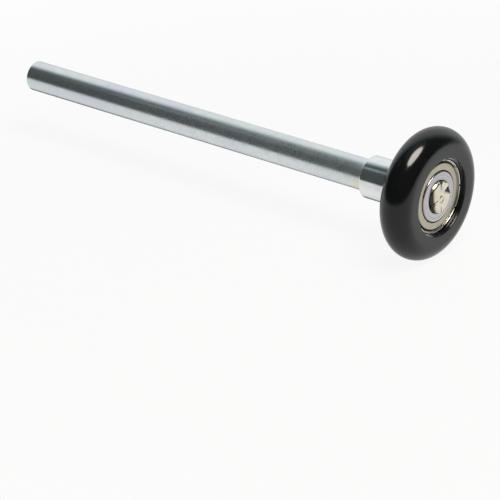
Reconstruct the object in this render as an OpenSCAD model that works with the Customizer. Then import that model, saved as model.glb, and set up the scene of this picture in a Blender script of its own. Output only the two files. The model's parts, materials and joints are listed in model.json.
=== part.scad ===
// Garage door roller: a moulded tyre on a shielded ball bearing, carried on a staked shaft.
// The axle lies along Y. The origin is on the axle, in the middle of the tread.
// -Y is the wheel's face with the staked head, and the shaft's free end points along +Y.

/* [Tyre] */
// Outside diameter of the tyre
tyre_d = 46; // [42:0.5:54]
// Width of the tyre from face to face
tyre_w = 12; // [11:0.5:14]
// How far each lip of the tyre laps over the bearing's face
lip_over = 0.5; // [0.3:0.1:0.9]
// Rounding of each lip's edge
lip_round = 0.4; // [0.2:0.1:0.5]

/* [Shaft] */
// Diameter of the shaft
shaft_d = 11; // [10:0.25:12]
// Length of shaft that stands out behind the tyre's back face
shaft_reach = 172; // [60:1:260]
// Chamfer at the shaft's free end
end_chamfer = 0.8; // [0.3:0.1:1.5]
// How far the shaft is turned down inside the sleeve and the inner ring
seat_step = 0.5; // [0.3:0.05:0.7]

/* [Staked head] */
// How far the riveted head laps over the edge of the inner ring's bore
head_over = 0.85; // [0.6:0.05:1.1]
// Height of the head above the inner ring's face
head_h = 1.2; // [0.8:0.1:1.5]
// Rounding of the head's rim
head_round = 0.7; // [0.4:0.05:0.75]
// Distance from the axis at which each stake mark begins
stake_start = 1.7; // [1.2:0.1:2.5]
// Slope of the stake marks' floors
stake_slope = 15; // [8:1:20]
// Angle of the first stake mark above the horizontal
stake_turn = 6; // [0:1:89]
// Diameter of the dimple in the middle of the head
dimple_d = 1.6; // [0.8:0.1:2]
// Depth of the dimple
dimple_h = 0.35; // [0.2:0.05:0.5]

/* [Sleeve] */
// Outside diameter of the sleeve
sleeve_d = 15; // [13.5:0.25:17]
// Length of sleeve that stands out behind the tyre's back face
sleeve_reach = 17.4; // [6:0.1:40]
// Rounding of the sleeve's outer edges
sleeve_round = 0.6; // [0.2:0.1:0.6]

/* [Bearing] */
// Outside diameter of the bearing
bearing_d = 28; // [26:0.5:30]
// Width of the bearing
bearing_w = 8; // [7.6:0.1:9]
// How far the bearing sits from the middle of the tyre towards the staked head
bearing_shift = 0.5; // [0:0.1:0.9]
// Chamfer on the outer ring's corners, half of which is on the inner ring's bore
ring_chamfer = 0.4; // [0.2:0.1:0.6]
// Pitch circle of the balls as a share of the bearing's outside diameter
pitch_share = 0.72; // [0.71:0.005:0.73]
// Diameter of each ball as a share of the bearing's outside diameter
ball_share = 0.17; // [0.16:0.0025:0.175]
// Running clearance between a ball and each groove
ball_play = 0.02; // [0.01:0.01:0.05]
// Radius of the grooves as a share of the ball's diameter
groove_share = 0.515; // [0.51:0.005:0.53]
// Depth of the groove in each ring
groove_depth = 1.15; // [1:0.05:1.2]

/* [Cage] */
// Thickness of each pressed half of the cage
cage_t = 0.4; // [0.3:0.05:0.45]
// Clearance between the cage and the shoulders of the rings
cage_gap = 0.3; // [0.2:0.05:0.4]
// Clearance between a ball and its pocket
pocket_gap = 0.1; // [0.05:0.01:0.15]
// Diameter of the rivet shanks
rivet_d = 0.7; // [0.5:0.1:0.8]
// Diameter of the rivet heads
rivet_head_d = 1.2; // [1:0.1:1.4]
// Height of the rivet heads
rivet_head_h = 0.25; // [0.2:0.05:0.4]

/* [Shields] */
// Thickness of the shields' sheet metal
shield_t = 0.3; // [0.2:0.05:0.35]
// Depth of the shield's flat below the bearing's face
shield_depth = 0.35; // [0.2:0.05:0.45]
// Gap between the shield and the inner ring
shield_gap = 0.25; // [0.15:0.05:0.4]
// Width of the outer ring's face outside the shield
rim_land = 1.15; // [0.9:0.05:1.2]
// Width of the channel pressed round the shield, inside its rim
channel_w = 0.4; // [0.3:0.05:0.45]
// Depth of the channel's floor below the bearing's face
channel_depth = 0.95; // [0.85:0.05:1]
// Depth of the rim's edge below the bearing's face
rim_depth = 0.15; // [0.1:0.05:0.3]
// Gap between the rim and its recess in the outer ring
rim_gap = 0.02; // [0.01:0.01:0.04]
// Width of the notches that let the rim spring
notch_w = 0.45; // [0.3:0.05:0.7]
// Depth of the notches below the rim's edge
notch_h = 0.5; // [0.3:0.05:0.55]

/* [Hidden] */
// Number of balls, pockets and rivets
ball_n = 8;
// Number of stake marks in the head
stake_n = 4;
// Number of notches in each shield's rim
notch_n = 10;
$fn = 72;
// Margin by which a cutting shape passes the face it cuts
cut = 1;

// Tyre
tyre_r = tyre_d / 2;
half_w = tyre_w / 2;
bearing_r = bearing_d / 2;
lip_r = bearing_r - lip_over;

// Bearing: its middle and its two faces along Y
bearing_y = -bearing_shift;
front_y = bearing_y - bearing_w / 2;
back_y = bearing_y + bearing_w / 2;
ball_d = bearing_d * ball_share;
ball_r = ball_d / 2;
pitch_r = bearing_r * pitch_share;
groove_r = ball_d * groove_share;
inner_groove_r = pitch_r - ball_r - ball_play;
outer_groove_r = pitch_r + ball_r + ball_play;
inner_land_r = inner_groove_r + groove_depth;
outer_land_r = outer_groove_r - groove_depth;

// Shields: the recess for each in the outer ring, and radii of the rim, the flat's edge and the bore
recess_r = bearing_r - rim_land;
recess_depth = channel_depth + shield_t;
rim_r = recess_r - rim_gap;
step_r = rim_r - shield_t - channel_w;
shield_bore_r = inner_land_r + shield_gap;

// Cage
pocket_r = ball_r + pocket_gap;
cage_in_r = inner_land_r + cage_gap;
cage_out_r = outer_land_r - cage_gap;
ball_step = 360 / ball_n;

// Shaft and sleeve: the shaft's turned-down part carries the sleeve and the inner ring
shaft_r = shaft_d / 2;
seat_r = shaft_r - seat_step;
free_y = half_w + shaft_reach;
sleeve_end_y = half_w + sleeve_reach;
head_r = seat_r + head_over;

// Turns a profile about the axle: x is the radius and y the place along the axle
module turned() {
    rotate([-90, 0, 0]) rotate_extrude() children();
}

// Sets children, drawn with +z away from a face, on the face at y that looks along -Y
module facing_front(y) {
    translate([0, y, 0]) rotate([90, 0, 0]) children();
}

// Mirrors children about the middle plane of the bearing
module other_side() {
    translate([0, 2 * bearing_y, 0]) mirror([0, 1, 0]) children();
}

// Profile of a ring's section from radius r1 to r2 and y1 to y2, with chamfer c on the corners at
// the outside when c_out is true, and at the bore when it isn't
module ring_section(r1, r2, y1, y2, c, c_out) {
    if (c_out)
        polygon([[r1, y1], [r2 - c, y1], [r2, y1 + c], [r2, y2 - c], [r2 - c, y2], [r1, y2]]);
    else
        polygon([[r1 + c, y1], [r2, y1], [r2, y2], [r1 + c, y2], [r1, y2 - c], [r1, y1 + c]]);
}

// Rectangle from radius r1 to r2 and y1 to y2
module band(r1, r2, y1, y2) {
    translate([r1, y1]) square([r2 - r1, y2 - y1]);
}

// Tyre, moulded round the outer ring with a full-round tread and rounded lips
module tyre() {
    tread_mid_r = tyre_r - half_w;
    color("#191919")
    turned()
    difference() {
        union() {
            translate([tread_mid_r, 0]) circle(r = half_w);
            band(lip_r + lip_round, tread_mid_r, -half_w, half_w);
            band(lip_r, tread_mid_r, lip_round - half_w, half_w - lip_round);
            for (side = [-1, 1])
                translate([lip_r + lip_round, side * (half_w - lip_round)]) circle(r = lip_round);
        }
        ring_section(0, bearing_r, front_y, back_y, ring_chamfer, true);
    }
}

// Outer ring with its ball groove and a recess for each shield
module outer_ring() {
    color("#B9B6AE")
    turned()
    difference() {
        ring_section(outer_land_r, bearing_r, front_y, back_y, ring_chamfer, true);
        translate([outer_groove_r - groove_r, bearing_y]) circle(r = groove_r);
        band(0, recess_r, front_y - cut, front_y + recess_depth);
        band(0, recess_r, back_y - recess_depth, back_y + cut);
    }
}

// Inner ring with its ball groove, seated on the turned-down part of the shaft
module inner_ring() {
    color("#BDB9C2")
    turned()
    difference() {
        ring_section(seat_r, inner_land_r, front_y, back_y, ring_chamfer / 2, false);
        translate([inner_groove_r + groove_r, bearing_y]) circle(r = groove_r);
    }
}

// Shield pressed from sheet: a flat that bends down into a channel, whose outer wall is a
// springy rim with notches and a rounded edge
module shield_at_front() {
    flat_y = front_y + shield_depth;
    floor_y = front_y + channel_depth;
    edge_y = front_y + rim_depth;
    difference() {
        turned() {
            band(shield_bore_r, step_r - shield_t, flat_y, flat_y + shield_t);
            intersection() {
                translate([step_r - shield_t, flat_y + shield_t]) circle(r = shield_t);
                band(step_r - shield_t, step_r, flat_y, flat_y + shield_t);
            }
            band(step_r - shield_t, step_r, flat_y + shield_t, floor_y + shield_t);
            band(step_r, rim_r, floor_y, floor_y + shield_t);
            band(rim_r - shield_t, rim_r, edge_y + shield_t / 2, floor_y);
            translate([rim_r - shield_t / 2, edge_y + shield_t / 2]) circle(r = shield_t / 2);
        }
        for (i = [0:notch_n - 1])
            rotate([0, i * 360 / notch_n, 0])
            translate([rim_r - shield_t - channel_w / 2, front_y, -notch_w / 2])
                cube([shield_t + channel_w, rim_depth + notch_h, notch_w]);
    }
}

module shield_front() {
    color("#BDB3A0") shield_at_front();
}

module shield_back() {
    color("#BDB3A0") other_side() shield_at_front();
}

// Ball i of the set, counted from +X towards +Z
module ball(i) {
    color("#D5D7DA")
    rotate([0, -(i - 1) * ball_step, 0])
    translate([pitch_r, bearing_y, 0]) sphere(r = ball_r);
}

// Repeats children round the axle, once a ball, from ball number first
module each_ball(first = 1) {
    for (i = [0:ball_n - 1])
        rotate([0, -(first - 1 + i) * ball_step, 0]) children();
}

// One cup of the cage, half of a spherical shell round the first ball, turned about the ball's
// own radius from the axle. Its outer corners lie a little inside the edges of the webs.
module cup() {
    cup_r = pocket_r + cage_t;
    corner_r = cage_out_r - cage_t / 4;
    out_x = (pow(corner_r, 2) - pow(pitch_r, 2) - pow(cup_r, 2)) / (2 * pitch_r);
    translate([pitch_r, bearing_y, 0]) rotate([0, 90, 0]) rotate([0, 0, 180])
    rotate_extrude(angle = 180)
    intersection() {
        difference() {
            circle(r = cup_r);
            circle(r = pocket_r);
        }
        band(0, cup_r, cage_in_r - pitch_r, out_x);
    }
}

// Front half of the ribbon cage: cups joined by flat webs, with a rivet hole in each web.
// The webs end inside the walls of the cups.
module cage_half() {
    gap_w = 2 * pocket_r + 0.6 * cage_t;
    difference() {
        turned() band(cage_in_r, cage_out_r, bearing_y - cage_t, bearing_y);
        each_ball() translate([pitch_r, bearing_y, 0])
            cube([pitch_r, 2 * (cage_t + cut), gap_w], center = true);
        each_ball(1.5) translate([pitch_r, bearing_y, 0]) rotate([90, 0, 0])
            cylinder(d = rivet_d, h = 2 * (cage_t + cut), center = true);
    }
    each_ball() cup();
}

module cage_front() {
    color("#A8A296") cage_half();
}

module cage_back() {
    color("#A8A296") other_side() cage_half();
}

// Rivets through the cage's webs, halfway between the balls
module cage_rivets() {
    color("#C9C4B8")
    each_ball(1.5) translate([pitch_r, bearing_y, 0]) rotate([90, 0, 0]) {
        cylinder(d = rivet_d, h = 2 * (cage_t + rivet_head_h), center = true);
        for (side = [0, 1])
            mirror([0, 0, side]) translate([0, 0, cage_t])
                cylinder(d = rivet_head_d, h = rivet_head_h);
    }
}

// Shaft: a plain rod, turned down from a coned shoulder in the sleeve's mouth to the wheel end,
// which is riveted over the inner ring and cross-staked
module shaft() {
    bore_c = ring_chamfer / 2;
    head_y = front_y - head_h;
    rim_r = head_r - head_round;
    color("#C3C6C8")
    difference() {
        turned() {
            polygon([
                [0, head_y + head_round], [seat_r, head_y + head_round], [seat_r, front_y],
                [seat_r + bore_c, front_y], [seat_r, front_y + bore_c],
                [seat_r, sleeve_end_y - seat_step], [shaft_r, sleeve_end_y],
                [shaft_r, free_y - end_chamfer], [shaft_r - end_chamfer, free_y], [0, free_y]
            ]);
            band(0, rim_r, head_y, front_y);
            band(0, head_r, head_y + head_round, front_y);
            intersection() {
                translate([rim_r, head_y + head_round]) circle(r = head_round);
                band(0, head_r, head_y, head_y + head_round);
            }
        }
        facing_front(head_y) {
            translate([0, 0, -dimple_h]) cylinder(d1 = 0, d2 = 2 * dimple_d, h = 2 * dimple_h);
            for (i = [0:stake_n - 1])
                rotate(stake_turn + i * 360 / stake_n)
                translate([stake_start, 0, 0]) rotate([0, stake_slope, 0])
                rotate([45, 0, 0]) cube(shaft_d);
        }
    }
}

// Sleeve between the inner ring and the door's bracket, countersunk for the shaft's shoulder
module sleeve() {
    sleeve_r = sleeve_d / 2;
    color("#C9CBCB")
    turned() {
        polygon([
            [seat_r, back_y], [sleeve_r - sleeve_round, back_y],
            [sleeve_r - sleeve_round, sleeve_end_y], [shaft_r, sleeve_end_y],
            [seat_r, sleeve_end_y - seat_step]
        ]);
        band(shaft_r, sleeve_r, back_y + sleeve_round, sleeve_end_y - sleeve_round);
        for (y = [back_y + sleeve_round, sleeve_end_y - sleeve_round])
            translate([sleeve_r - sleeve_round, y]) circle(r = sleeve_round);
    }
}

tyre();
outer_ring();
inner_ring();
shield_front();
shield_back();
cage_front();
cage_back();
cage_rivets();
shaft();
sleeve();
for (i = [1:ball_n])
    ball(i);
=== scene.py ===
"""Dresses the garage door roller: moulded tyre, zinc-plated shaft and sleeve, shielded bearing."""

import json
import math

import bmesh
import bpy
from mathutils import Matrix, Vector


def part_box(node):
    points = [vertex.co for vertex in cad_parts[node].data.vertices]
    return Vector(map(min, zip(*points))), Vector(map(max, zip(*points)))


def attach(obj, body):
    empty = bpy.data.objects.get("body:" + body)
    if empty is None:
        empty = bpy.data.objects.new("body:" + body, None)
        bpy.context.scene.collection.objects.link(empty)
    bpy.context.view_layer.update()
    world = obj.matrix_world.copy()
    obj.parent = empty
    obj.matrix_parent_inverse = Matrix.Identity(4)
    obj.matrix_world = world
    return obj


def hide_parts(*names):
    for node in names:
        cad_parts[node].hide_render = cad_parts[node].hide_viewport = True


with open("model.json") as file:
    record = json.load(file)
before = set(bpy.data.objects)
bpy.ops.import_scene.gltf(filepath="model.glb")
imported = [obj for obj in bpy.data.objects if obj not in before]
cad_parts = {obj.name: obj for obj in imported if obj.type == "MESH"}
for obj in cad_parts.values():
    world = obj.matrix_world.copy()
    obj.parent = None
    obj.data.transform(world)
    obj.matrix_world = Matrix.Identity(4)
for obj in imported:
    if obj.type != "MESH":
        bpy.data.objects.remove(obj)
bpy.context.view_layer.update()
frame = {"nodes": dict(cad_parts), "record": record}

bl_info = {
    "name": "Garage Door Roller",
    "version": (1, 0, 0),
    "blender": (4, 5, 0),
    "location": "3D View > Sidebar > Roller",
    "description": "Builds the looks of a garage door roller round its solids",
    "category": "Object",
}

MM = 0.001

# Sizes read from the frame, in millimetres. The axle is the Y axis, and X and Z are radial.
TYRE_LOW, TYRE_HIGH = (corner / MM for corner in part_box("tyre"))
RING_LOW, RING_HIGH = (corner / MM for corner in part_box("outer_ring"))
SHAFT_LOW, SHAFT_HIGH = (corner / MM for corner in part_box("shaft"))
INNER_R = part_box("inner_ring")[1].x / MM
SLEEVE_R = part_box("sleeve")[1].x / MM
SLEEVE_END_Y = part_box("sleeve")[1].y / MM
RIM_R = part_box("shield_front")[1].x / MM

TYRE_R = TYRE_HIGH.x
HALF_W = TYRE_HIGH.y
BEARING_R = RING_HIGH.x
FRONT_Y, BACK_Y = RING_LOW.y, RING_HIGH.y
MIDDLE_Y = (FRONT_Y + BACK_Y) / 2
HEAD_Y, FREE_Y = SHAFT_LOW.y, SHAFT_HIGH.y
HEAD_R = SHAFT_HIGH.x
SHAFT_R = frame["record"]["mounts"][0]["dims"]["r_mm"]
# The step down from the shaft to the seat that carries the sleeve and the inner ring
SEAT_STEP = 0.5
SEAT_R = SHAFT_R - SEAT_STEP

# The bearing's inside: the balls' pitch circle and size as shares of the bearing's, the grooves'
# radius as a share of the balls' diameter, and the balls' play and the grooves' depth in mm
PITCH_SHARE = 0.72
BALL_SHARE = 0.17
GROOVE_SHARE = 0.515
BALL_PLAY = 0.02
GROOVE_DEPTH = 1.15
# The outer ring: its corners' chamfer, the land outside each shield, and the shield's recess
RING_CHAMFER = 0.4
RIM_LAND = 1.15
RECESS_DEPTH = 1.25
# The inner ring: the rounding of its outer edges and the chamfer of its bore
INNER_ROUND = 0.48
BORE_CHAMFER = 0.2
# Radius out to which painted shade darkens the outer ring, in the shields' recess and inside the
# bearing
SHADED_R = BEARING_R - 0.92
# How far each lip of the tyre reaches over the bearing
LIP_OVER = 0.5
# Rounding of the sleeve's outer edges
SLEEVE_ROUND = 0.6

# Kinds of node that the finishes use most
NOISE = "ShaderNodeTexNoise"
RANGE = "ShaderNodeMapRange"
MIX = "ShaderNodeMix"
BUMP = "ShaderNodeBump"
MATH = "ShaderNodeMath"
VECTOR = "ShaderNodeVectorMath"
SPLIT = "ShaderNodeSeparateXYZ"
JOIN = "ShaderNodeCombineXYZ"

# Settings that several nodes share
RGBA = {"data_type": "RGBA"}
FLOAT = {"data_type": "FLOAT"}
SMOOTH = {"interpolation_type": "SMOOTHSTEP"}
MULTIPLY = {"operation": "MULTIPLY"}
MAXIMUM = {"operation": "MAXIMUM"}
DIVIDE = {"operation": "DIVIDE"}
DOT = {"operation": "DOT_PRODUCT"}
LENGTH = {"operation": "LENGTH"}


# ---------------------------------------------------------------------------------------------
# Settings that a user would change
# ---------------------------------------------------------------------------------------------


class TyreSettings(bpy.types.PropertyGroup):
    """Shape and finish of the tyre"""

    colour: bpy.props.StringProperty(
        name="Nylon colour",
        description="Colour of the moulded nylon as an sRGB hex value",
        default="#0E0E0F",
    )
    lip_round: bpy.props.FloatProperty(
        name="Lip rounding",
        description="Radius of the rounding on each lip, in metres",
        default=0.0004,
        min=0.0002,
        max=0.0005,
        unit="LENGTH",
        precision=5,
    )
    roughness: bpy.props.FloatProperty(
        name="Roughness",
        description="Roughness of the moulded skin",
        default=0.13,
        min=0.0,
        max=1.0,
        subtype="FACTOR",
    )


class SteelSettings(bpy.types.PropertyGroup):
    """Finishes and small shapes of the metal pieces"""

    zinc: bpy.props.StringProperty(
        name="Zinc colour",
        description="Colour of the zinc plating as an sRGB hex value",
        default="#E5EAEA",
    )
    ring: bpy.props.StringProperty(
        name="Ring colour",
        description="Colour of the bearing rings as an sRGB hex value",
        default="#CBC7C8",
    )
    shield: bpy.props.StringProperty(
        name="Shield colour",
        description="Colour of the bearing shields as an sRGB hex value",
        default="#C5C0B1",
    )
    end_chamfer: bpy.props.FloatProperty(
        name="End chamfer",
        description="Chamfer at the shaft's free end, in metres",
        default=0.0008,
        min=0.0003,
        max=0.0015,
        unit="LENGTH",
        precision=5,
    )
    stake_slope: bpy.props.FloatProperty(
        name="Stake slope",
        description="How fast the floors of the stake marks fall towards the rim",
        default=0.27,
        min=0.1,
        max=0.4,
        subtype="FACTOR",
    )


class StudioSettings(bpy.types.PropertyGroup):
    """Floor, light and view"""

    softbox: bpy.props.FloatProperty(
        name="Softbox power",
        description="Power of the large soft lamp, in watts",
        default=11.5,
        min=0.0,
        max=100.0,
        unit="POWER",
    )
    floor_radius: bpy.props.FloatProperty(
        name="Floor radius",
        description="Radius of the round floor, in metres",
        default=0.45,
        min=0.2,
        max=2.0,
        unit="LENGTH",
    )
    lens: bpy.props.FloatProperty(
        name="Focal length",
        description="Focal length of the camera, in millimetres",
        default=192.62,
        min=20.0,
        max=400.0,
        unit="CAMERA",
    )


# ---------------------------------------------------------------------------------------------
# Colours and nodes
# ---------------------------------------------------------------------------------------------


def linear(hex_value):
    """Linear RGBA of an sRGB hex value."""
    shares = [int(hex_value[i : i + 2], 16) / 255 for i in (1, 3, 5)]
    return tuple(
        c / 12.92 if c <= 0.04045 else ((c + 0.055) / 1.055) ** 2.4 for c in shares
    ) + (1.0,)


def add_node(tree, kind, settings=None, inputs=None, output=0):
    """Adds a node, links the inputs given as sockets, sets the others, and gives one output."""
    made = tree.nodes.new(kind)
    for name, value in (settings or {}).items():
        setattr(made, name, value)
    for key, value in (inputs or {}).items():
        if isinstance(value, bpy.types.NodeSocket):
            tree.links.new(value, made.inputs[key])
        else:
            made.inputs[key].default_value = value
    return made.outputs[output] if made.outputs else None


def new_material(name):
    """An empty node material: the material, its node tree and the place of each point in mm."""
    material = bpy.data.materials.new(name)
    material.use_nodes = True
    tree = material.node_tree
    tree.nodes.clear()
    place = add_node(tree, "ShaderNodeTexCoord", output="Object")
    place = add_node(tree, VECTOR, {"operation": "SCALE"}, {0: place, "Scale": 1 / MM})
    return material, tree, place


def finish_material(tree, sockets):
    """Ends a material in one Principled shader with the given values and links."""
    shader = add_node(tree, "ShaderNodeBsdfPrincipled", None, sockets)
    add_node(tree, "ShaderNodeOutputMaterial", None, {"Surface": shader})


# ---------------------------------------------------------------------------------------------
# Materials, each named for the real one and how its surface was made
# ---------------------------------------------------------------------------------------------


def moulded_black_nylon(colour, roughness):
    # Polyamide from a polished die: glossy, with a slight waviness where the thick tread sank
    # as it cooled, over about 6 mm, and a fainter flow texture of about 1 mm.
    material, tree, place = new_material("moulded_black_nylon")
    sink = add_node(tree, NOISE, None, {"Vector": place, "Scale": 1 / 6, "Detail": 2.0})
    flow = add_node(tree, NOISE, None, {"Vector": place, "Scale": 1 / 0.9, "Detail": 3.0})
    tint = add_node(tree, MIX, RGBA, {0: sink, 6: linear(colour), 7: linear("#131314")}, 2)
    gloss = add_node(
        tree,
        RANGE,
        None,
        {"Value": flow, 1: 0.3, 2: 0.7, 3: roughness * 0.85, 4: roughness * 1.2},
    )
    wave = add_node(tree, BUMP, None, {"Height": sink, "Distance": 0.02 * MM, "Strength": 0.3})
    skin = add_node(
        tree,
        BUMP,
        None,
        {"Height": flow, "Distance": 0.004 * MM, "Strength": 0.35, "Normal": wave},
    )
    finish_material(tree, {"Base Color": tint, "Roughness": gloss, "IOR": 1.53, "Normal": skin})
    return material


def drawn_zinc_plate(colour):
    # Bright zinc on cold-drawn rod: nearly smooth, clouded over a few millimetres, with faint
    # streaks from the die along the rod, a few short nicks from the barrel that it was plated
    # in, and a painted warm reflection on the rod's underside next to the sleeve's end. The
    # passivate film turns faintly violet in patches about 20 mm long, and the free half is
    # rubbed brighter by sliding in its bracket.
    material, tree, place = new_material("drawn_zinc_plate")
    cloud = add_node(tree, NOISE, None, {"Vector": place, "Scale": 1 / 3, "Detail": 1.0})
    along = add_node(tree, VECTOR, DIVIDE, {0: place, 1: (0.7, 14.0, 0.7)})
    streak = add_node(tree, NOISE, None, {"Vector": along, "Scale": 1.0, "Detail": 1.0})
    short = add_node(tree, VECTOR, DIVIDE, {0: place, 1: (0.9, 1.6, 0.55)})
    nick = add_node(tree, NOISE, None, {"Vector": short, "Scale": 1.0, "Detail": 2.0})
    nick = add_node(tree, RANGE, None, {"Value": nick, 1: 0.69, 2: 0.75, 3: 0.0, 4: 0.6})
    tint = add_node(tree, MIX, RGBA, {0: cloud, 6: linear(colour), 7: linear("#D3DEE1")}, 2)
    film = add_node(tree, NOISE, None, {"Vector": place, "Scale": 1 / 22, "Detail": 1.0})
    film = add_node(tree, RANGE, None, {"Value": film, 1: 0.48, 2: 0.64, 3: 0.0, 4: 1.0})
    axial, height = add_node(tree, SPLIT, None, {0: place}).node.outputs[1:]
    # painted warm reflection, strongest on the rod's underside next to the sleeve's end
    painted_reflection = add_node(
        tree,
        RANGE,
        SMOOTH,
        {"Value": axial, 1: SLEEVE_END_Y + 1, 2: SLEEVE_END_Y + 6, 3: 1.3, 4: 0.0},
    )
    lower_side = add_node(tree, RANGE, None, {"Value": height, 1: -0.5, 2: 1.5, 3: 1.0, 4: 0.1})
    for share in (cloud, lower_side):
        painted_reflection = add_node(tree, MATH, MULTIPLY, {0: painted_reflection, 1: share})
    for share, overlay_colour in ((film, "#DADEE8"), (painted_reflection, "#E9E4C4"), (nick, "#7E8686")):
        tint = add_node(tree, MIX, RGBA, {0: share, 6: tint, 7: linear(overlay_colour)}, 2)
    gloss = add_node(tree, RANGE, None, {"Value": cloud, 1: 0.3, 2: 0.7, 3: 0.25, 4: 0.32})
    rubbed = add_node(
        tree, RANGE, None, {"Value": axial, 1: 0.5 * FREE_Y, 2: FREE_Y, 3: 1.0, 4: 0.6}
    )
    gloss = add_node(tree, MATH, MULTIPLY, {0: gloss, 1: rubbed})
    wave = add_node(tree, BUMP, None, {"Height": cloud, "Distance": 0.006 * MM, "Strength": 0.3})
    wave = add_node(
        tree,
        BUMP,
        None,
        {"Height": streak, "Distance": 0.003 * MM, "Strength": 0.3, "Normal": wave},
    )
    finish_material(
        tree, {"Base Color": tint, "Metallic": 0.9, "Roughness": gloss, "Normal": wave}
    )
    return material


def round_the_axle(tree, place):
    """Places drawn out round the axle: 1 mm along the turning direction is (1, 0, 0)."""
    split = add_node(tree, SPLIT, None, {0: place}).node.outputs
    flat = add_node(tree, JOIN, None, {0: split[0], 1: split[2]})
    radius = add_node(tree, VECTOR, LENGTH, {0: flat}, "Value")
    angle = add_node(tree, MATH, {"operation": "ARCTAN2"}, {0: split[2], 1: split[0]})
    return add_node(tree, JOIN, None, {0: angle, 1: split[1], 2: radius})


def turned_zinc_plate(colour):
    # Bright zinc on lathe-turned tube: a clear mirror with fine tool marks round the piece.
    # The marks are about 0.1 mm apart and are drawn three times as coarse, so that they show.
    material, tree, place = new_material("turned_zinc_plate")
    turned_to = round_the_axle(tree, place)
    lathe = add_node(tree, VECTOR, DIVIDE, {0: turned_to, 1: (2.0, 0.3, 0.3)})
    marks = add_node(tree, NOISE, None, {"Vector": lathe, "Scale": 1.0, "Detail": 3.0})
    cloud = add_node(tree, NOISE, None, {"Vector": place, "Scale": 1 / 1.8, "Detail": 3.0})
    tint = add_node(tree, MIX, RGBA, {0: cloud, 6: linear("#F4F7F7"), 7: linear(colour)}, 2)
    gloss = add_node(tree, RANGE, None, {"Value": cloud, 1: 0.3, 2: 0.7, 3: 0.09, 4: 0.15})
    wave = add_node(tree, BUMP, None, {"Height": cloud, "Distance": 0.012 * MM, "Strength": 0.4})
    wave = add_node(
        tree,
        BUMP,
        None,
        {"Height": marks, "Distance": 0.006 * MM, "Strength": 0.4, "Normal": wave},
    )
    finish_material(
        tree, {"Base Color": tint, "Metallic": 0.94, "Roughness": gloss, "Normal": wave}
    )
    return material


# The side of the head, outwards from the axle, where the lamp's glint falls and no shade is
# painted
GLINT_SIDE = (-0.5, 0.0, 0.87)


def riveted_zinc_plate():
    # The shaft's end, pressed over and staked by a punch: metal smeared in waves about a
    # millimetre wide with smaller dents, where the plating has thinned to green, violet and
    # straw tints. Painted shade darkens what lies deeper than the top, in the marks, round the
    # rim and under it, but is left off the side where the lamp's glint falls.
    material, tree, place = new_material("riveted_zinc_plate")
    smear = add_node(
        tree, NOISE, None, {"Vector": place, "Scale": 1 / 1.3, "Detail": 3.0, "Roughness": 0.5}
    )
    dents = add_node(tree, NOISE, None, {"Vector": place, "Scale": 1 / 0.45, "Detail": 2.0})
    elsewhere = add_node(tree, VECTOR, {"operation": "ADD"}, {0: place, 1: (7.0, 3.0, 5.0)})
    film = add_node(tree, NOISE, None, {"Vector": elsewhere, "Scale": 1 / 2.2, "Detail": 2.0})
    violet = add_node(tree, RANGE, None, {"Value": film, 1: 0.54, 2: 0.66, 3: 0.0, 4: 1.0})
    straw = add_node(tree, RANGE, None, {"Value": smear, 1: 0.5, 2: 0.62, 3: 0.0, 4: 1.0})
    tint = add_node(tree, MIX, RGBA, {0: violet, 6: linear("#E8E8D5"), 7: linear("#DDD3D6")}, 2)
    axial = add_node(tree, SPLIT, None, {0: place}, 1)
    # painted shade below the head's top, in the marks and round the rim, left off where the lamp's
    # glint falls
    painted_shade = add_node(
        tree, RANGE, SMOOTH, {"Value": axial, 1: HEAD_Y + 0.22, 2: HEAD_Y + 0.6, 3: 0.0, 4: 0.95}
    )
    toward_glint = add_node(tree, VECTOR, DOT, {0: place, 1: GLINT_SIDE}, "Value")
    shade_share = add_node(
        tree, RANGE, SMOOTH, {"Value": toward_glint, 1: 0.82 * HEAD_R, 2: 0.93 * HEAD_R, 3: 1.0, 4: 0.15}
    )
    painted_shade = add_node(tree, MATH, MULTIPLY, {0: painted_shade, 1: shade_share})
    for share, overlay_colour in ((straw, "#F1DCC6"), (painted_shade, "#282E25")):
        tint = add_node(tree, MIX, RGBA, {0: share, 6: tint, 7: linear(overlay_colour)}, 2)
    gloss = add_node(tree, RANGE, None, {"Value": dents, 1: 0.3, 2: 0.7, 3: 0.2, 4: 0.32})
    wave = add_node(tree, BUMP, None, {"Height": smear, "Distance": 0.17 * MM, "Strength": 0.6})
    wave = add_node(
        tree,
        BUMP,
        None,
        {"Height": dents, "Distance": 0.01 * MM, "Strength": 0.4, "Normal": wave},
    )
    finish_material(
        tree, {"Base Color": tint, "Metallic": 1.0, "Roughness": gloss, "Normal": wave}
    )
    return material


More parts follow.
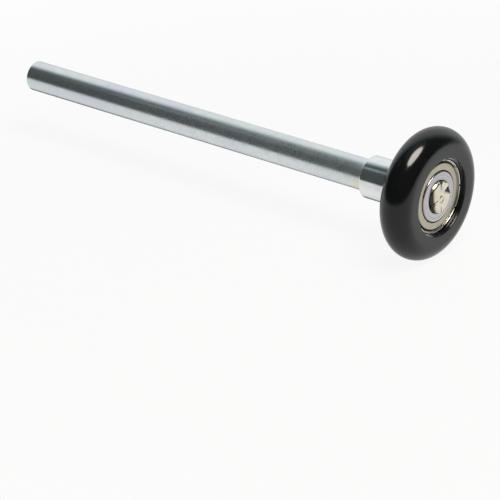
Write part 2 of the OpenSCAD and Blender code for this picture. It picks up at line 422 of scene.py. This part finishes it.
def turned_bearing_steel(name, colour, shaded_r):
    # Through-hardened chrome steel with face-ground sides: concentric lines and a cool sheen.
    # The lines are about 0.02 mm apart and are drawn twenty times as coarse, so that they show.
    # Inside the radius shaded_r the steel is darkened by painted shade, for the shade in the
    # shields' recess and inside the bearing.
    material, tree, place = new_material(name)
    turned_to = round_the_axle(tree, place)
    ground = add_node(tree, VECTOR, DIVIDE, {0: turned_to, 1: (6.0, 0.4, 0.4)})
    marks = add_node(tree, NOISE, None, {"Vector": ground, "Scale": 1.0, "Detail": 2.0})
    lines = add_node(tree, RANGE, None, {"Value": marks, 1: 0.35, 2: 0.65, 3: 0.0, 4: 1.0})
    tint = add_node(tree, MIX, RGBA, {0: lines, 6: linear(colour), 7: linear("#B0AEB8")}, 2)
    radius = add_node(tree, SPLIT, None, {0: turned_to}, 2)
    # painted shade inside shaded_r, for the shade in the recess and inside the bearing
    oil_and_shade = add_node(
        tree, RANGE, None, {"Value": radius, 1: shaded_r, 2: shaded_r + 0.1, 3: 1.0, 4: 0.0}
    )
    tint = add_node(tree, MIX, RGBA, {0: oil_and_shade, 6: tint, 7: linear("#1E1C18")}, 2)
    gloss = add_node(tree, RANGE, None, {"Value": marks, 1: 0.3, 2: 0.7, 3: 0.2, 4: 0.3})
    wave = add_node(tree, BUMP, None, {"Height": marks, "Distance": 0.02 * MM, "Strength": 0.6})
    finish_material(
        tree, {"Base Color": tint, "Metallic": 1.0, "Roughness": gloss, "Normal": wave}
    )
    return material


def pressed_sheet_steel(name, colour, second):
    # Thin cold-rolled sheet pressed in a die: satin, with a faint grain and a warm oiled tint.
    # The rolled rim is burnished where it snapped in, and painted shade darkens the deep channel
    # and all that lies deeper, such as the cage.
    material, tree, place = new_material(name)
    grain = add_node(
        tree, NOISE, None, {"Vector": place, "Scale": 1 / 0.5, "Detail": 4.0, "Roughness": 0.6}
    )
    tint = add_node(tree, MIX, RGBA, {0: grain, 6: linear(colour), 7: linear(second)}, 2)
    turned_to = round_the_axle(tree, place)
    axial, radius = add_node(tree, SPLIT, None, {0: turned_to}).node.outputs[1:]
    rim = add_node(
        tree, RANGE, None, {"Value": radius, 1: RIM_R - 0.6, 2: RIM_R - 0.45, 3: 0.0, 4: 1.0}
    )
    inwards = add_node(tree, MATH, {"operation": "SUBTRACT"}, {0: axial, 1: MIDDLE_Y})
    inwards = add_node(tree, MATH, {"operation": "ABSOLUTE"}, {0: inwards})
    face = BACK_Y - MIDDLE_Y
    # painted shade in the deep channel and over all that lies deeper, which darkens the whole cage
    oil_and_shade = add_node(
        tree, RANGE, None, {"Value": inwards, 1: face - 0.4, 2: face - 0.6, 3: 0.0, 4: 1.0}
    )
    for share, overlay_colour in ((oil_and_shade, "#39352A"), (rim, "#EEECE2")):
        tint = add_node(tree, MIX, RGBA, {0: share, 6: tint, 7: linear(overlay_colour)}, 2)
    satin = add_node(tree, RANGE, None, {"Value": grain, 1: 0.3, 2: 0.7, 3: 0.28, 4: 0.4})
    gloss = add_node(tree, MIX, FLOAT, {0: rim, 2: satin, 3: 0.3})
    wave = add_node(tree, BUMP, None, {"Height": grain, "Distance": 0.002 * MM, "Strength": 0.4})
    finish_material(
        tree, {"Base Color": tint, "Metallic": 1.0, "Roughness": gloss, "Normal": wave}
    )
    return material


def lapped_ball_steel():
    # Chrome steel balls, lapped to a mirror, with only a breath of oil on them.
    material, tree, place = new_material("lapped_ball_steel")
    oil_and_shade = add_node(tree, NOISE, None, {"Vector": place, "Scale": 1 / 0.8, "Detail": 2.0})
    tint = add_node(tree, MIX, RGBA, {0: oil_and_shade, 6: linear("#D9DBDE"), 7: linear("#CED0D2")}, 2)
    gloss = add_node(tree, RANGE, None, {"Value": oil_and_shade, 1: 0.3, 2: 0.7, 3: 0.05, 4: 0.1})
    finish_material(tree, {"Base Color": tint, "Metallic": 1.0, "Roughness": gloss})
    return material


# ---------------------------------------------------------------------------------------------
# Shapes
# ---------------------------------------------------------------------------------------------


def arc(centre, radius, start, end, steps):
    """Points of an arc in the profile plane (radius, place along the axle), angles in degrees."""
    points = []
    for i in range(steps + 1):
        a = math.radians(start + (end - start) * i / steps)
        points.append((centre[0] + radius * math.cos(a), centre[1] + radius * math.sin(a)))
    return points


def softened(points, radius, steps=3):
    """A closed profile with its corners rounded to radius, less where an edge is short."""
    rounded = []
    count = len(points)
    for i, corner in enumerate(points):
        before = Vector(points[i - 1]) - Vector(corner)
        after = Vector(points[(i + 1) % count]) - Vector(corner)
        turn = before.angle(after)
        # nearly straight already
        if turn > math.radians(165):
            rounded.append(tuple(corner))
            continue
        back = min(radius / math.tan(turn / 2), before.length * 0.4, after.length * 0.4)
        first = Vector(corner) + before.normalized() * back
        last = Vector(corner) + after.normalized() * back
        for k in range(steps + 1):
            t = k / steps
            mixed = first * (1 - t) ** 2 + Vector(corner) * 2 * t * (1 - t) + last * t * t
            rounded.append(tuple(mixed))
    return rounded


def piece_from(name, vertices, faces, sharp_degrees):
    """A smooth-shaded piece whose edges stay sharp above an angle. Vertices are in mm."""
    mesh = bpy.data.meshes.new(name)
    mesh.from_pydata([tuple(c * MM for c in v) for v in vertices], [], faces)
    mesh.validate()
    work = bmesh.new()
    work.from_mesh(mesh)
    bmesh.ops.recalc_face_normals(work, faces=work.faces)
    work.to_mesh(mesh)
    work.free()
    mesh.polygons.foreach_set("use_smooth", [True] * len(mesh.polygons))
    mesh.set_sharp_from_angle(angle=math.radians(sharp_degrees))
    mesh.update()
    piece = bpy.data.objects.new(name, mesh)
    bpy.context.scene.collection.objects.link(piece)
    return piece


def wrapped(sections):
    """Vertices and faces of closed sections, one for each turn about the axle.

    Each section is an angle in degrees and its points (radius, place along the axle).
    """
    vertices, faces = [], []
    count = len(sections[0][1])
    for degrees, profile in sections:
        a = math.radians(degrees)
        vertices += [(r * math.cos(a), y, r * math.sin(a)) for r, y in profile]
    for s in range(len(sections)):
        here, there = s * count, (s + 1) % len(sections) * count
        for i in range(count):
            j = (i + 1) % count
            faces.append((here + i, here + j, there + j, there + i))
    return vertices, faces


def turned(name, profile, segments=288):
    """Turns one closed profile about the axle."""
    sections = [(360 * s / segments, profile) for s in range(segments)]
    return piece_from(name, *wrapped(sections), sharp_degrees=30)


def place_piece(piece, material, body, slot, *nodes):
    """Finishes a piece: its material, the body it rides on and what it stands for; the slot is not
    used.
    """
    piece.data.materials.append(material)
    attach(piece, body)
    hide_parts(*nodes)


def tyre_profile(lip_round):
    """The tyre's section: full-round tread, flat faces, rounded lips and the bearing's seat."""
    tread_r = TYRE_R - HALF_W
    lip_r = BEARING_R - LIP_OVER
    corner_r = BEARING_R - RING_CHAMFER
    points = arc((tread_r, 0), HALF_W, -90, 90, 72)
    points += arc((lip_r + lip_round, HALF_W - lip_round), lip_round, 90, 180, 8)
    points += [(lip_r, BACK_Y), (corner_r, BACK_Y), (BEARING_R, BACK_Y - RING_CHAMFER)]
    points += [(BEARING_R, FRONT_Y + RING_CHAMFER), (corner_r, FRONT_Y), (lip_r, FRONT_Y)]
    points += arc((lip_r + lip_round, lip_round - HALF_W), lip_round, 180, 270, 8)
    return points


# Each stake mark in the head: where it begins (x, z), its direction in degrees, its slope and
# half-width as shares, and how far its ridge leans to one side
STAKE_MARKS = (
    (0.9, 1.5, 11.0, 1.5, 1.3, 0.5),
    (-0.5, 1.9, 84.0, 0.75, 0.7, 0.0),
    (-1.8, -0.3, 213.0, 1.8, 0.7, 0.3),
    (-0.2, -1.8, -79.0, 0.75, 0.7, 0.0),
)
# How far before its beginning a mark's raised ridges run out, and the ridges' height
RUN_OUT = 0.6
RIDGE_HEIGHT = 0.05
# Half-width of the ridges, and of the blend between a mark and the top
SOFT_EDGE = 0.2
BLEND = 0.1
# The ring pressed by the punch's nose: its place (x, z), radius and depth
PUNCH_RING = (0.1, -0.5, 1.1875, 0.2)
PUNCH_RING_WIDTH = 0.25
# Waves pushed up by the punch: millimetres of height, and radians per millimetre in x and z
HEAD_WAVES = ((0.035, 1.9, 0.6), (0.03, -0.8, 1.7), (0.02, 2.6, -2.2))
# Radius inside which the waves die down
CALM_R = 3
# Rounding of the head's edge, and the height of its crown
HEAD_ROUND = 0.95
HEAD_CROWN = 0.1
# How fast the head falls away on the side that the punch leaned to, and from where
HEAD_SLUMP = 0.1
SLUMP_FROM = 2.1


def head_height(r, angle, slope):
    """Height of the staked head above the ring's face at a point, in mm."""
    top = FRONT_Y - HEAD_Y
    x, z = r * math.cos(angle), r * math.sin(angle)
    edge = HEAD_R - HEAD_ROUND
    height = top - HEAD_CROWN * (r / edge) ** 2
    if r > edge:
        drop = HEAD_ROUND - math.sqrt(max(HEAD_ROUND**2 - (r - edge) ** 2, 0.0))
        height = top - HEAD_CROWN - drop
    height -= HEAD_SLUMP * max(-x - 0.2 * z - SLUMP_FROM, 0.0) ** 2
    for size, waves_x, waves_z in HEAD_WAVES:
        height -= size * min(r / CALM_R, 1) * (1 + math.sin(waves_x * x + waves_z * z + 1))
    ring_x, ring_z, ring_r, ring_depth = PUNCH_RING
    away = (math.hypot(x - ring_x, z - ring_z) - ring_r) / PUNCH_RING_WIDTH
    height -= ring_depth * math.exp(-(away**2))
    for mark_x, mark_z, turn, steep, width, lean in STAKE_MARKS:
        c, k = math.cos(math.radians(turn)), math.sin(math.radians(turn))
        along = (x - mark_x) * c + (z - mark_z) * k
        across = (z - mark_z) * c - (x - mark_x) * k
        if along < -RUN_OUT:
            continue
        depth = max(along, 0.0) * slope * steep
        side = width * (1 - lean) if across > 0 else width * (1 + lean)
        across = abs(across)
        ridge = math.exp(-(((across - depth * side) / SOFT_EDGE - 1) ** 2))
        height += RIDGE_HEIGHT * min(along + RUN_OUT, 1) * ridge
        wall = top - depth + (math.hypot(across, BLEND) - BLEND) / side
        if wall < height + BLEND:
            share = 0.5 + 0.5 * max(-1.0, min(1.0, (height - wall) / BLEND))
            height = height * (1 - share) + min(wall, height) * share
    return min(max(height, 0.0), top)


# Distance between the rings of the head's grid
HEAD_GRID = 0.07
# Below its widest place the mushroomed rim is undercut towards the inner ring: radius and height
UNDERCUT = ((HEAD_R, 0.3), (HEAD_R - 0.06, 0.15), (HEAD_R - 0.25, 0.0))


def staked_head(slope):
    """The riveted head: a grid of rings that rise and fall with the marks pressed into it."""
    segments = 360
    edge = HEAD_R - HEAD_ROUND
    # the rings of the top stop just short of those of the rounded edge
    steps = math.ceil(edge / HEAD_GRID - 0.1)
    radii = [0.02] + [HEAD_GRID * i for i in range(1, steps)]
    radii += [edge + HEAD_ROUND * math.sin(math.radians(a)) for a in range(3, 88, 6)]
    radii.append(HEAD_R)
    top = FRONT_Y - HEAD_Y
    rows = [(r, r, top) for r in radii] + [(r, HEAD_R, level) for r, level in UNDERCUT]
    vertices, faces = [], []
    for r, followed_r, limit in rows:
        for s in range(segments):
            a = 2 * math.pi * s / segments
            height = min(head_height(followed_r, a, slope), limit)
            vertices.append((r * math.cos(a), FRONT_Y - height, r * math.sin(a)))
    for row in range(len(rows) - 1):
        here, below = row * segments, (row + 1) * segments
        for s in range(segments):
            t = (s + 1) % segments
            faces.append((here + s, here + t, below + t, below + s))
    faces.append(tuple(range(segments)))
    faces.append(tuple((len(rows) - 1) * segments + s for s in range(segments)))
    return piece_from("shaft_head", vertices, faces, sharp_degrees=50)


# The shields' sheet, the depths of their flat, channel and rim below the bearing's face, the
# widths of the channel's floor and slope, and the rolled rim's thickness
SHEET = 0.3
SHIELD_FLAT = 0.35
CHANNEL_FLOOR = 0.95
RIM_DEPTH = 0.15
CHANNEL_WIDTH = 0.7
SLOPE_WIDTH = 0.3
BEAD = 0.45
# Gaps between the inner ring and the shield's bore, and its lip: the bore is stepped inwards,
# so that no light passes there
BORE_GAP = 0.33
LIP_GAP = 0.08
# Notches in each shield's rim
NOTCHES = 10
NOTCH_WIDTH = 0.6
NOTCH_DEPTH = 0.55


def shield_section(side, sink):
    """The shield's section, with depths from the bearing's face; sink lowers its curled rim."""
    face = FRONT_Y if side < 0 else BACK_Y
    step = RIM_R - SHEET - CHANNEL_WIDTH
    bore = INNER_R + BORE_GAP
    lip = INNER_R + LIP_GAP
    edge = RIM_DEPTH + sink
    points = [
        (bore, SHIELD_FLAT),
        (step - SLOPE_WIDTH - 0.2, SHIELD_FLAT),
        (step - SLOPE_WIDTH, SHIELD_FLAT + 0.1),
        (step, CHANNEL_FLOOR),
        (RIM_R - SHEET, CHANNEL_FLOOR),
        (RIM_R - SHEET, edge + BEAD),
        (RIM_R - BEAD, edge + 0.5 * BEAD),
        (RIM_R - 0.85 * BEAD, edge + 0.15 * BEAD),
        (RIM_R - 0.5 * BEAD, edge),
        (RIM_R - 0.15 * BEAD, edge + 0.15 * BEAD),
        (RIM_R, edge + 0.5 * BEAD),
        (RIM_R, CHANNEL_FLOOR + SHEET),
        (step - 0.5 * SHEET, CHANNEL_FLOOR + SHEET),
        (step - 0.5 * SHEET - SLOPE_WIDTH, SHIELD_FLAT + SHEET),
        (bore + SHEET, SHIELD_FLAT + SHEET),
        (bore + SHEET, SHIELD_FLAT + 2 * SHEET),
        (lip, SHIELD_FLAT + 2 * SHEET),
        (lip, SHIELD_FLAT + SHEET),
        (bore, SHIELD_FLAT + SHEET),
    ]
    return [(r, face - side * depth) for r, depth in softened(points, 0.06, steps=2)]


def notched_shield(name, side):
    """Pressed shield, whose springy rim has notches."""
    # half the turn of a notch's steep wall, in degrees, and the sections between two notches
    wall, between = 0.02, 24
    half = math.degrees(NOTCH_WIDTH / 2 / RIM_R)
    pitch = 360 / NOTCHES
    turns = []
    for i in range(NOTCHES):
        middle = i * pitch
        turns += [(middle - half - wall, 0.0), (middle - half + wall, NOTCH_DEPTH)]
        turns += [(middle + half - wall, NOTCH_DEPTH), (middle + half + wall, 0.0)]
        gap = pitch - 2 * half
        turns += [(middle + half + gap * k / between, 0.0) for k in range(1, between)]
    sections = [(turn, shield_section(side, sink)) for turn, sink in turns]
    return piece_from(name, *wrapped(sections), sharp_degrees=40)


# ---------------------------------------------------------------------------------------------
# Studio
# ---------------------------------------------------------------------------------------------


def direction(azimuth, elevation):
    """Unit vector for an azimuth from +X towards +Y and an elevation, in degrees."""
    a, e = math.radians(azimuth), math.radians(elevation)
    return Vector((math.cos(e) * math.cos(a), math.cos(e) * math.sin(a), math.sin(e)))


# Where the unlit side of the room is, which polished pieces show, and how dark the floor is
# at its middle and towards that side in what they show
UNLIT_SIDE = direction(-150, 0)
UNLIT_NEAR, UNLIT_FAR = 0.12, 0.44
# How bright the floor looks to the camera, and to metal that mirrors it, without any lamp
FLOOR_GLOW_SEEN = 0.95
FLOOR_GLOW_MIRRORED = 0.8
# The shaft's shadow on the floor, which the lamp's size washes out to the camera but metal
# still mirrors: across the shaft (0) or along it (1), a range in mm, and the shadow's share
# before and beyond that range
MIRRORED_SHADOW = (
    (0, -1, 7, 0.0, 0.85),
    (0, 36, 60, 1.0, 0.0),
    (1, 5, 25, 0.0, 1.0),
    (1, FREE_Y + 50, FREE_Y + 120, 1.0, 0.0),
)
# Shares of the floor's radius between which it fades out
FLOOR_FADE = (0.3, 0.95)


def lay_floor(radius):
    """A round pale floor under the tyre that fades out into the white surroundings."""
    count = 96
    level = TYRE_LOW.z * MM
    vertices = [(0.0, 0.0, level)]
    for i in range(count):
        a = 2 * math.pi * i / count
        vertices.append((radius * math.cos(a), radius * math.sin(a), level))
    faces = [(0, i + 1, (i + 1) % count + 1) for i in range(count)]
    mesh = bpy.data.meshes.new("studio_floor")
    mesh.from_pydata(vertices, [], faces)
    floor = bpy.data.objects.new("studio_floor", mesh)
    bpy.context.scene.collection.objects.link(floor)
    mesh.materials.append(matt_white_paper(radius))


def matt_white_paper(radius):
    # Uncoated paper sweep: matt and white, with a grain too fine to see from here.
    material, tree, place = new_material("matt_white_paper")
    grain = add_node(tree, NOISE, None, {"Vector": place, "Scale": 1 / 2, "Detail": 4.0})
    white = add_node(tree, MIX, RGBA, {0: grain, 6: linear("#F9F9F9"), 7: linear("#FBFBFB")}, 2)
    path = add_node(tree, "ShaderNodeLightPath").node.outputs
    mirrored = add_node(
        tree, MATH, MAXIMUM, {0: path["Is Glossy Ray"], 1: path["Is Transmission Ray"]}
    )
    outwards = add_node(tree, VECTOR, {"operation": "NORMALIZE"}, {0: place})
    unlit = add_node(tree, VECTOR, DOT, {0: outwards, 1: UNLIT_SIDE}, "Value")
    unlit = add_node(
        tree, RANGE, None, {"Value": unlit, 1: 0.0, 2: 0.8, 3: UNLIT_NEAR, 4: UNLIT_FAR}
    )
    unlit = add_node(tree, MATH, MULTIPLY, {0: unlit, 1: mirrored})
    sides = add_node(tree, SPLIT, None, {0: place}).node.outputs
    shadow = mirrored
    for side, near, far, before, beyond in MIRRORED_SHADOW:
        share = add_node(
            tree, RANGE, SMOOTH, {"Value": sides[side], 1: near, 2: far, 3: before, 4: beyond}
        )
        shadow = add_node(tree, MATH, MULTIPLY, {0: shadow, 1: share})
    dark = add_node(tree, MATH, MAXIMUM, {0: unlit, 1: shadow})
    shade = add_node(tree, MIX, RGBA, {0: dark, 6: white, 7: linear("#000000")}, 2)
    seen = add_node(tree, MATH, MULTIPLY, {0: path["Is Camera Ray"], 1: FLOOR_GLOW_SEEN})
    glow_share = add_node(
        tree, MATH, {"operation": "MULTIPLY_ADD"}, {0: mirrored, 1: FLOOR_GLOW_MIRRORED, 2: seen}
    )
    paper = add_node(tree, "ShaderNodeBsdfDiffuse", None, {"Color": shade})
    glow = add_node(tree, "ShaderNodeEmission", None, {"Color": shade, "Strength": 1.0})
    lit = add_node(tree, "ShaderNodeMixShader", None, {0: glow_share, 1: paper, 2: glow})
    clear = add_node(tree, "ShaderNodeBsdfTransparent")
    away = add_node(tree, VECTOR, LENGTH, {0: place}, "Value")
    solid, gone = (share * radius / MM for share in FLOOR_FADE)
    away = add_node(tree, RANGE, SMOOTH, {"Value": away, 1: solid, 2: gone, 3: 0.0, 4: 1.0})
    faded = add_node(tree, "ShaderNodeMixShader", None, {0: away, 1: lit, 2: clear})
    add_node(tree, "ShaderNodeOutputMaterial", None, {"Surface": faded})
    return material


# The room above the floor, as lit patches: the direction of the middle, the cosines between
# which a patch fades in, and its level outside and inside
ROOM_PATCHES = (
    (direction(35, 15), 0.4, 0.8, 0.033, 0.87),
    (direction(0, 90), 0.8, 1.0, 0.0, 0.3),
    (direction(122, 46), 0.99, 0.999, 0.0, 0.25),
)
# The same for the floor beyond the paper, and for where the floor ends and the room begins
FAR_FLOOR = (UNLIT_SIDE, -0.1, 0.85, 0.7, 0.3)
HORIZON = (direction(-140, 74), -0.34, 0.06, 1.0, 0.0)
# The colour of the dim walls, and the level from which they are white
DIM_WALL = "#C4EBF4"
WHITE_LEVEL = 0.85


def light_room():
    """Room light: a pale sweep below and behind, a dim ceiling and an unlit side."""
    world = bpy.data.worlds.new("studio_room")
    bpy.context.scene.world = world
    world.use_nodes = True
    tree = world.node_tree
    tree.nodes.clear()
    toward = add_node(tree, "ShaderNodeTexCoord", output="Generated")
    levels = []
    for middle, far, near, outside, inside in ROOM_PATCHES + (FAR_FLOOR, HORIZON):
        facing = add_node(tree, VECTOR, DOT, {0: toward, 1: middle}, "Value")
        levels.append(
            add_node(
                tree, RANGE, SMOOTH, {"Value": facing, 1: far, 2: near, 3: outside, 4: inside}
            )
        )
    room = levels[0]
    for level in levels[1 : len(ROOM_PATCHES)]:
        room = add_node(tree, MATH, MAXIMUM, {0: room, 1: level})
    far_floor, below = levels[-2:]
    level = add_node(tree, MIX, FLOAT, {0: below, 2: room, 3: far_floor})
    pale = add_node(tree, MATH, DIVIDE, {0: level, 1: WHITE_LEVEL})
    tint = add_node(tree, MIX, RGBA, {0: pale, 6: linear(DIM_WALL), 7: linear("#FFFFFF")}, 2)
    seen = add_node(tree, "ShaderNodeLightPath", output="Is Camera Ray")
    strength = add_node(tree, MIX, FLOAT, {0: seen, 2: level, 3: 1.0})
    tint = add_node(tree, MIX, RGBA, {0: seen, 6: tint, 7: linear("#FFFFFF")}, 2)
    room = add_node(tree, "ShaderNodeBackground", None, {"Color": tint, "Strength": strength})
    add_node(tree, "ShaderNodeOutputWorld", None, {"Surface": room})


# The lamp's width and height in metres, and where it hangs, a metre away
SOFTBOX_SIZE = (0.74, 0.54)
SOFTBOX_PLACE = direction(-110, 66)


def hang_softbox(power):
    """One large soft lamp, a metre away, high above the near side of the wheel."""
    lamp = bpy.data.lights.new("softbox", "AREA")
    lamp.shape = "ELLIPSE"
    lamp.size, lamp.size_y = SOFTBOX_SIZE
    lamp.energy = power
    lamp.color = linear("#FFF9F0")[:3]
    holder = bpy.data.objects.new("softbox", lamp)
    holder.location = SOFTBOX_PLACE
    holder.rotation_euler = SOFTBOX_PLACE.to_track_quat("Z", "Y").to_euler()
    bpy.context.scene.collection.objects.link(holder)


# The camera's place in mm, and the ways to its right and forwards
CAMERA_PLACE = Vector((-676.903, -466.281, 351.805))
CAMERA_RIGHT = Vector((0.6252, -0.7805, 0.0))
CAMERA_FORWARD = Vector((0.7106, 0.5692, -0.4137))


def set_camera(lens):
    """Camera in front of the wheel, a little above and to its left."""
    forward = CAMERA_FORWARD.normalized()
    up = CAMERA_RIGHT.cross(forward).normalized()
    turn = Matrix((forward.cross(up), up, -forward)).transposed().to_4x4()
    data = bpy.data.cameras.new("camera")
    data.lens = lens
    data.sensor_width = 36.0
    data.clip_start = 0.05
    camera = bpy.data.objects.new("camera", data)
    camera.matrix_world = Matrix.Translation(CAMERA_PLACE * MM) @ turn
    bpy.context.scene.collection.objects.link(camera)
    bpy.context.scene.camera = camera


# ---------------------------------------------------------------------------------------------
# Operators
# ---------------------------------------------------------------------------------------------


class ROLLER_OT_tyre(bpy.types.Operator):
    """Turns the moulded tyre"""

    bl_idname = "roller.tyre"
    bl_label = "Tyre"

    def execute(self, context):
        settings = context.scene.roller_tyre
        piece = turned("moulded_tyre", tyre_profile(settings.lip_round / MM), 320)
        nylon = moulded_black_nylon(settings.colour, settings.roughness)
        place_piece(piece, nylon, "wheel", "tyre_nylon", "tyre")
        return {"FINISHED"}


class ROLLER_OT_shaft(bpy.types.Operator):
    """Turns the shaft and rivets its staked head"""

    bl_idname = "roller.shaft"
    bl_label = "Shaft"

    def execute(self, context):
        settings = context.scene.roller_steel
        chamfer = settings.end_chamfer / MM
        # a hair's width from the axis, so that no face shrinks to a line
        centre = 0.01
        rod = [
            (centre, FRONT_Y),
            (SEAT_R, FRONT_Y),
            (SEAT_R, SLEEVE_END_Y - SEAT_STEP),
            (SHAFT_R, SLEEVE_END_Y),
            (SHAFT_R, FREE_Y - chamfer),
            (SHAFT_R - chamfer, FREE_Y),
            (centre, FREE_Y),
        ]
        piece = turned("shaft_rod", softened(rod, 0.12))
        place_piece(piece, drawn_zinc_plate(settings.zinc), "axle", "zinc_steel", "shaft")
        head = staked_head(settings.stake_slope)
        place_piece(head, riveted_zinc_plate(), "axle", "zinc_steel", "shaft")
        return {"FINISHED"}


class ROLLER_OT_sleeve(bpy.types.Operator):
    """Turns the spacer sleeve"""

    bl_idname = "roller.sleeve"
    bl_label = "Sleeve"

    def execute(self, context):
        settings = context.scene.roller_steel
        corner_r = SLEEVE_R - SLEEVE_ROUND
        points = [(SEAT_R, BACK_Y)]
        points += arc((corner_r, BACK_Y + SLEEVE_ROUND), SLEEVE_ROUND, -90, 0, 8)
        points += arc((corner_r, SLEEVE_END_Y - SLEEVE_ROUND), SLEEVE_ROUND, 0, 90, 8)
        points += [(SHAFT_R, SLEEVE_END_Y), (SEAT_R, SLEEVE_END_Y - SEAT_STEP)]
        piece = turned("spacer_sleeve", points)
        place_piece(piece, turned_zinc_plate(settings.zinc), "axle", "zinc_steel", "sleeve")
        return {"FINISHED"}


class ROLLER_OT_rings(bpy.types.Operator):
    """Turns the bearing's inner and outer rings"""

    bl_idname = "roller.rings"
    bl_label = "Bearing rings"

    def execute(self, context):
        colour = context.scene.roller_steel.ring
        pitch_r = BEARING_R * PITCH_SHARE
        ball_r = BEARING_R * BALL_SHARE
        groove_r = 2 * ball_r * GROOVE_SHARE
        corner_r = BEARING_R - RING_CHAMFER
        recess_r = BEARING_R - RIM_LAND
        land_r = pitch_r + ball_r + BALL_PLAY - GROOVE_DEPTH
        centre = pitch_r + ball_r + BALL_PLAY - groove_r
        half = math.degrees(math.acos((land_r - centre) / groove_r))
        outer = [
            (land_r, FRONT_Y + RECESS_DEPTH),
            (recess_r, FRONT_Y + RECESS_DEPTH),
            (recess_r, FRONT_Y),
            (corner_r, FRONT_Y),
            (BEARING_R, FRONT_Y + RING_CHAMFER),
            (BEARING_R, BACK_Y - RING_CHAMFER),
            (corner_r, BACK_Y),
            (recess_r, BACK_Y),
            (recess_r, BACK_Y - RECESS_DEPTH),
            (land_r, BACK_Y - RECESS_DEPTH),
        ]
        outer = softened(outer, 0.14)
        outer += arc((centre, MIDDLE_Y), groove_r, half, -half, 24)
        piece = turned("bearing_outer_ring", outer)
        steel = turned_bearing_steel("turned_outer_ring_steel", colour, SHADED_R)
        place_piece(piece, steel, "wheel", "ring_steel", "outer_ring")

        centre = pitch_r - ball_r - BALL_PLAY + groove_r
        half = math.degrees(math.acos((centre - INNER_R) / groove_r))
        edge_r = INNER_R - INNER_ROUND
        inner = [
            (SEAT_R + BORE_CHAMFER, BACK_Y),
            (SEAT_R, BACK_Y - BORE_CHAMFER),
            (SEAT_R, FRONT_Y + BORE_CHAMFER),
            (SEAT_R + BORE_CHAMFER, FRONT_Y),
        ]
        inner += arc((edge_r, FRONT_Y + INNER_ROUND), INNER_ROUND, -90, 0, 8)
        inner += arc((centre, MIDDLE_Y), groove_r, 180 + half, 180 - half, 24)
        inner += arc((edge_r, BACK_Y - INNER_ROUND), INNER_ROUND, 0, 90, 8)
        piece = turned("bearing_inner_ring", inner)
        steel = turned_bearing_steel("turned_inner_ring_steel", colour, 0.0)
        place_piece(piece, steel, "axle", "ring_steel", "inner_ring")
        return {"FINISHED"}


class ROLLER_OT_shields(bpy.types.Operator):
    """Presses the two notched shields"""

    bl_idname = "roller.shields"
    bl_label = "Bearing shields"

    def execute(self, context):
        settings = context.scene.roller_steel
        sheet = pressed_sheet_steel("pressed_shield_steel", settings.shield, "#BAB4A4")
        for name, side, node in (
            ("pressed_shield_front", -1, "shield_front"),
            ("pressed_shield_back", 1, "shield_back"),
        ):
            piece = notched_shield(name, side)
            place_piece(piece, sheet, "wheel", "shield_steel", node)
        return {"FINISHED"}


class ROLLER_OT_cage_and_balls(bpy.types.Operator):
    """Gives the cage, its rivets and the balls their finish"""

    bl_idname = "roller.cage_and_balls"
    bl_label = "Cage and balls"

    def execute(self, context):
        cage = pressed_sheet_steel("pressed_cage_steel", "#B0A999", "#A39B8A")
        balls = lapped_ball_steel()
        for name, node in frame["nodes"].items():
            if name.startswith("cage"):
                finish = cage
            elif name.startswith("ball"):
                finish = balls
            else:
                continue
            node.data.materials.clear()
            node.data.materials.append(finish)
        return {"FINISHED"}


class ROLLER_OT_stage(bpy.types.Operator):
    """Lays the floor and sets the light and the view"""

    bl_idname = "roller.stage"
    bl_label = "Studio"

    def execute(self, context):
        settings = context.scene.roller_studio
        lay_floor(settings.floor_radius)
        light_room()
        hang_softbox(settings.softbox)
        set_camera(settings.lens)
        context.scene.view_settings.view_transform = "Standard"
        return {"FINISHED"}


class ROLLER_PT_sidebar(bpy.types.Panel):
    """Lists the roller's pieces and settings"""

    bl_idname = "ROLLER_PT_sidebar"
    bl_label = "Garage Door Roller"
    bl_space_type = "VIEW_3D"
    bl_region_type = "UI"
    bl_category = "Roller"

    def draw(self, context):
        for group in ("roller_tyre", "roller_steel", "roller_studio"):
            settings = getattr(context.scene, group)
            box = self.layout.box()
            for name in settings.__annotations__:
                box.prop(settings, name)
        for operator in OPERATORS:
            self.layout.operator(operator.bl_idname)


SETTINGS = {
    "roller_tyre": TyreSettings,
    "roller_steel": SteelSettings,
    "roller_studio": StudioSettings,
}
OPERATORS = (
    ROLLER_OT_tyre,
    ROLLER_OT_shaft,
    ROLLER_OT_sleeve,
    ROLLER_OT_rings,
    ROLLER_OT_shields,
    ROLLER_OT_cage_and_balls,
    ROLLER_OT_stage,
)


def register():
    """Registers the settings, operators and panel."""
    for name, group in SETTINGS.items():
        bpy.utils.register_class(group)
        setattr(bpy.types.Scene, name, bpy.props.PointerProperty(type=group))
    for made in OPERATORS + (ROLLER_PT_sidebar,):
        bpy.utils.register_class(made)


def unregister():
    """Takes back what register added."""
    for made in reversed(OPERATORS + (ROLLER_PT_sidebar,)):
        bpy.utils.unregister_class(made)
    for name, group in SETTINGS.items():
        delattr(bpy.types.Scene, name)
        bpy.utils.unregister_class(group)


def main():
    """Builds every piece and the stage."""
    register()
    bpy.ops.roller.tyre()
    bpy.ops.roller.shaft()
    bpy.ops.roller.sleeve()
    bpy.ops.roller.rings()
    bpy.ops.roller.shields()
    bpy.ops.roller.cage_and_balls()
    bpy.ops.roller.stage()
    bpy.context.view_layer.update()


if __name__ == "__main__":
    main()
